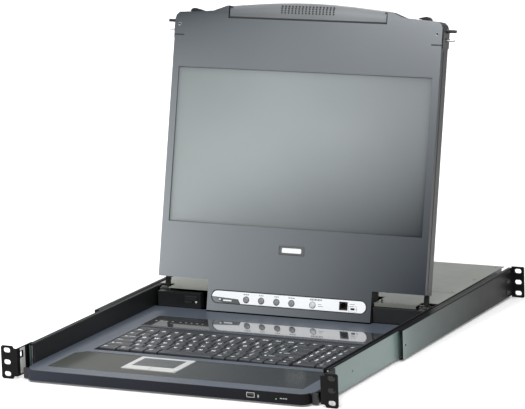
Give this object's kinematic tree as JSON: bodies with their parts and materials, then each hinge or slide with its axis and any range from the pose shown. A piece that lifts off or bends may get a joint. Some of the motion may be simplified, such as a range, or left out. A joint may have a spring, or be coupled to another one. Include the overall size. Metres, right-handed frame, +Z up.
{
  "type": "kvm switch",
  "caption": "Rack-mounted KVM console drawer: sliding tray with keyboard and touchpad, fold-up wide screen, switch box behind, rails with front ears and adjustable rear brackets.",
  "frame": {"origin": "bottom centre of the bounding box at rest: on the rack centre line, level with the lowest edge of the ears", "axes": "+X to the operator's right, +Y towards the back of the rack, +Z up"},
  "size_m": [0.4826, 0.6496, 0.4366],
  "materials": {
    "black_paint": "satin black paint on sheet steel",
    "black_plastic": "black moulded plastic, fine texture",
    "rail_paint": "satin black coated steel with a clear sheen",
    "zinc_steel": "zinc plated slide steel",
    "slate_plastic": "slate-blue satin plastic",
    "palm_gloss": "smooth grey-olive palm rest",
    "cover_paint": "olive-grey matt coated sheet",
    "module_metal": "mid-grey satin coat with a faint metallic sheen",
    "screen_glass": "dark screen, switched off",
    "silver_plastic": "silver coated plastic",
    "white_panel": null,
    "button_grey": "grey rubber buttons",
    "key_black": "dark grey keycaps",
    "gloss_strip": "high-gloss dark strip",
    "circuit_board": "green board",
    "tinned_steel": "tinned connector shells",
    "supply_case": "pressed supply case",
    "green_light": "light pipe"
  },
  "bodies": {
    "chassis": {"rail_left": "rail_paint", "rail_right": "rail_paint", "ear_left": "black_paint", "ear_right": "black_paint"},
    "rear_bracket_left": {"bracket_left": "rail_paint"},
    "rear_bracket_right": {"bracket_right": "rail_paint"},
    "middle_slide_left": {"slide_mid_left": "zinc_steel"},
    "middle_slide_right": {"slide_mid_right": "zinc_steel"},
    "drawer": {"tray": "black_paint", "slide_inner_left": "zinc_steel", "slide_inner_right": "zinc_steel", "deck_frame": "slate_plastic", "front_bezel": "slate_plastic", "usb_port": "tinned_steel", "power_light": "green_light", "palm_rest": "palm_gloss", "keyboard_plate": "black_paint", "pad_frame": "silver_plastic", "pad_surface": "key_black", "light_strip": "gloss_strip", "hinge_box_left": "black_paint", "hinge_box_right": "black_paint", "hinge_base_left": "black_paint", "hinge_base_right": "black_paint", "cover_front": "cover_paint", "cover_back": "cover_paint", "rear_panel": "black_paint", "port_block": "tinned_steel", "power_inlet": "black_plastic", "main_board": "circuit_board", "power_supply": "supply_case"},
    "screen": {"guide_pin_left": "zinc_steel", "guide_pin_right": "zinc_steel", "screen_bezel": "module_metal", "screen_glass": "screen_glass", "screen_back": "module_metal", "handle": "module_metal", "name_plate": "silver_plastic", "control_panel": "white_panel", "phone_jack": "black_plastic", "hinge_arm_left": "black_paint", "hinge_arm_right": "black_paint"},
    "key_block_main": {"keys_main": "key_black"},
    "key_block_function": {"keys_function": "key_black"},
    "key_block_bottom_left": {"keys_bottom_left": "key_black"},
    "key_block_bottom_right": {"keys_bottom_right": "key_black"},
    "space_bar": {"key_space": "key_black"},
    "arrow_keys": {"keys_arrow": "key_black"},
    "number_keys": {"keys_number": "key_black"},
    "pad_button_left_body": {"pad_button_left": "silver_plastic"},
    "pad_button_right_body": {"pad_button_right": "silver_plastic"},
    "rocker": {"power_switch": "black_plastic"},
    "adjust_button_1": {"button_1": "button_grey"},
    "adjust_button_2": {"button_2": "button_grey"},
    "adjust_button_3": {"button_3": "button_grey"},
    "adjust_button_4": {"button_4": "button_grey"},
    "screen_power_button": {"button_screen": "silver_plastic"},
    "mode_slider": {"mode_switch": "black_plastic"},
    "latch_left_body": {"latch_left": "black_paint"},
    "latch_right_body": {"latch_right": "black_paint"}
  },
  "joints": [
    {"name": "left_depth_adjust", "type": "slide", "parent": "chassis", "child": "rear_bracket_left", "axis": [0, 1, 0], "range_m": [-0.08, 0.12]},
    {"name": "right_depth_adjust", "type": "slide", "parent": "chassis", "child": "rear_bracket_right", "axis": [0, 1, 0], "range_m": [-0.08, 0.12]},
    {"name": "drawer_slide", "type": "slide", "parent": "chassis", "child": "drawer", "axis": [0, -1, 0], "range_m": [0, 0.5]},
    {"name": "middle_slide_left_run", "type": "slide", "parent": "chassis", "child": "middle_slide_left", "axis": [0, -1, 0], "range_m": [0, 0.25]},
    {"name": "middle_slide_right_run", "type": "slide", "parent": "chassis", "child": "middle_slide_right", "axis": [0, -1, 0], "range_m": [0, 0.25]},
    {"name": "screen_hinge", "type": "hinge", "parent": "drawer", "child": "screen", "pos_m": [0, 0.07155, 0.0367], "axis": [1, 0, 0], "range_deg": [-7, 102.9]},
    {"name": "key_block_main_press", "type": "slide", "parent": "drawer", "child": "key_block_main", "axis": [0, 0, -1], "range_m": [0, 0.0016], "stiffness_N_per_m": 900, "springref_m": -0.0025},
    {"name": "key_block_function_press", "type": "slide", "parent": "drawer", "child": "key_block_function", "axis": [0, 0, -1], "range_m": [0, 0.0016], "stiffness_N_per_m": 300, "springref_m": -0.0025},
    {"name": "key_block_bottom_left_press", "type": "slide", "parent": "drawer", "child": "key_block_bottom_left", "axis": [0, 0, -1], "range_m": [0, 0.0016], "stiffness_N_per_m": 150, "springref_m": -0.0025},
    {"name": "key_block_bottom_right_press", "type": "slide", "parent": "drawer", "child": "key_block_bottom_right", "axis": [0, 0, -1], "range_m": [0, 0.0016], "stiffness_N_per_m": 150, "springref_m": -0.0025},
    {"name": "space_bar_press", "type": "slide", "parent": "drawer", "child": "space_bar", "axis": [0, 0, -1], "range_m": [0, 0.0016], "stiffness_N_per_m": 150, "springref_m": -0.0025},
    {"name": "arrow_keys_press", "type": "slide", "parent": "drawer", "child": "arrow_keys", "axis": [0, 0, -1], "range_m": [0, 0.0016], "stiffness_N_per_m": 150, "springref_m": -0.0025},
    {"name": "number_keys_press", "type": "slide", "parent": "drawer", "child": "number_keys", "axis": [0, 0, -1], "range_m": [0, 0.0016], "stiffness_N_per_m": 300, "springref_m": -0.0025},
    {"name": "pad_button_left_press", "type": "slide", "parent": "drawer", "child": "pad_button_left_body", "axis": [0, 0, -1], "range_m": [0, 0.0006], "stiffness_N_per_m": 200, "springref_m": -0.002},
    {"name": "pad_button_right_press", "type": "slide", "parent": "drawer", "child": "pad_button_right_body", "axis": [0, 0, -1], "range_m": [0, 0.0006], "stiffness_N_per_m": 200, "springref_m": -0.002},
    {"name": "rocker_tilt", "type": "hinge", "parent": "drawer", "child": "rocker", "pos_m": [-0.153, 0.31475, 0.022], "axis": [1, 0, 0], "range_deg": [0, 14]},
    {"name": "button_1_press", "type": "slide", "parent": "screen", "child": "adjust_button_1", "axis": [0, 0.9746, -0.2239], "range_m": [0, 0.0008], "stiffness_N_per_m": 100, "springref_m": -0.002},
    {"name": "button_2_press", "type": "slide", "parent": "screen", "child": "adjust_button_2", "axis": [0, 0.9746, -0.2239], "range_m": [0, 0.0008], "stiffness_N_per_m": 100, "springref_m": -0.002},
    {"name": "button_3_press", "type": "slide", "parent": "screen", "child": "adjust_button_3", "axis": [0, 0.9746, -0.2239], "range_m": [0, 0.0008], "stiffness_N_per_m": 100, "springref_m": -0.002},
    {"name": "button_4_press", "type": "slide", "parent": "screen", "child": "adjust_button_4", "axis": [0, 0.9746, -0.2239], "range_m": [0, 0.0008], "stiffness_N_per_m": 100, "springref_m": -0.002},
    {"name": "button_screen_press", "type": "slide", "parent": "screen", "child": "screen_power_button", "axis": [0, 0.9746, -0.2239], "range_m": [0, 0.0008], "stiffness_N_per_m": 100, "springref_m": -0.002},
    {"name": "mode_switch_slide", "type": "slide", "parent": "screen", "child": "mode_slider", "axis": [1, 0, 0], "range_m": [-0.0012, 0.0012]},
    {"name": "latch_left_release", "type": "slide", "parent": "screen", "child": "latch_left_body", "axis": [1, 0, 0], "range_m": [0, 0.007], "stiffness_N_per_m": 120, "springref_m": -0.006},
    {"name": "latch_right_release", "type": "slide", "parent": "screen", "child": "latch_right_body", "axis": [-1, 0, 0], "range_m": [0, 0.007], "stiffness_N_per_m": 120, "springref_m": -0.006}
  ],
  "couplings": [
    {"joint": "middle_slide_left_run", "follows": "drawer_slide", "ratio": 0.5},
    {"joint": "middle_slide_right_run", "follows": "drawer_slide", "ratio": 0.5}
  ]
}
